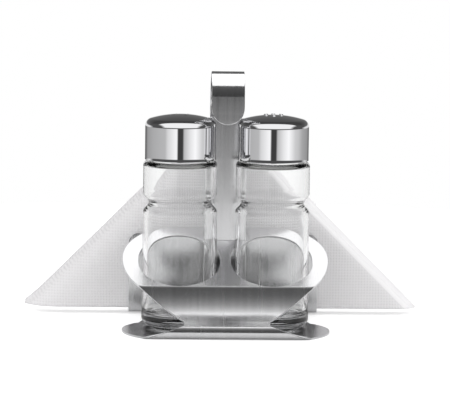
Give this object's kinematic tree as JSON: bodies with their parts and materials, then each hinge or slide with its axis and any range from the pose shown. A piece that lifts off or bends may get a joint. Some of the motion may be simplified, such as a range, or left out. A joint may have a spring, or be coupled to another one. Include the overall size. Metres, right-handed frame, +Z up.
{
  "type": "condiment set",
  "caption": "Bent-sheet table stand with two screw-capped glass shakers, a curled strip handle and a napkin channel behind.",
  "frame": {"origin": "on the table, under the base, midway between the two shaker axes", "axes": "+X to the right along the napkins' long edge, +Y from the front panel to the napkin channel, +Z up"},
  "size_m": [0.232, 0.1049, 0.147],
  "materials": {
    "brushed_sheet": "brushed up and down the sheet",
    "brushed_strip": "brushed along the strip",
    "polished_cap": "polished",
    "clear_glass": "clear and smooth",
    "seal": "matte",
    "liner": "matte",
    "napkin": "soft embossed paper"
  },
  "bodies": {
    "stand": {"stand": "brushed_sheet", "handle": "brushed_strip", "napkin_holder": "brushed_sheet"},
    "salt_shaker": {"salt_glass": "clear_glass"},
    "salt_seal": {"salt_seal": "seal"},
    "salt_cap": {"salt_cap": "polished_cap", "salt_cap_liner": "liner"},
    "pepper_shaker": {"pepper_glass": "clear_glass"},
    "pepper_seal": {"pepper_seal": "seal"},
    "pepper_cap": {"pepper_cap": "polished_cap", "pepper_cap_liner": "liner"},
    "napkins": {"napkin_1": "napkin", "napkin_2": "napkin", "napkin_3": "napkin", "napkin_4": "napkin", "napkin_5": "napkin"}
  },
  "joints": [
    {"name": "salt_lift", "type": "slide", "parent": "stand", "child": "salt_shaker", "axis": [0, 0, 1], "range_m": [0, 0.0192]},
    {"name": "salt_cap_rise", "type": "slide", "parent": "salt_shaker", "child": "salt_seal", "axis": [0, 0, 1], "range_m": [0, 0.0038]},
    {"name": "salt_cap_turn", "type": "hinge", "parent": "salt_seal", "child": "salt_cap", "pos_m": [-0.0265, 0, 0.1], "axis": [0, 0, 1], "range_deg": [0, 450]},
    {"name": "pepper_lift", "type": "slide", "parent": "stand", "child": "pepper_shaker", "axis": [0, 0, 1], "range_m": [0, 0.0192]},
    {"name": "pepper_cap_rise", "type": "slide", "parent": "pepper_shaker", "child": "pepper_seal", "axis": [0, 0, 1], "range_m": [0, 0.0038]},
    {"name": "pepper_cap_turn", "type": "hinge", "parent": "pepper_seal", "child": "pepper_cap", "pos_m": [0.0265, 0, 0.1], "axis": [0, 0, 1], "range_deg": [0, 450]},
    {"name": "napkin_lift", "type": "slide", "parent": "stand", "child": "napkins", "axis": [0, 0, 1], "range_m": [0, 0.05]}
  ],
  "couplings": [
    {"joint": "salt_cap_rise", "follows": "salt_cap_turn", "m_per_rad": 0.00047746},
    {"joint": "pepper_cap_rise", "follows": "pepper_cap_turn", "m_per_rad": 0.00047746}
  ]
}
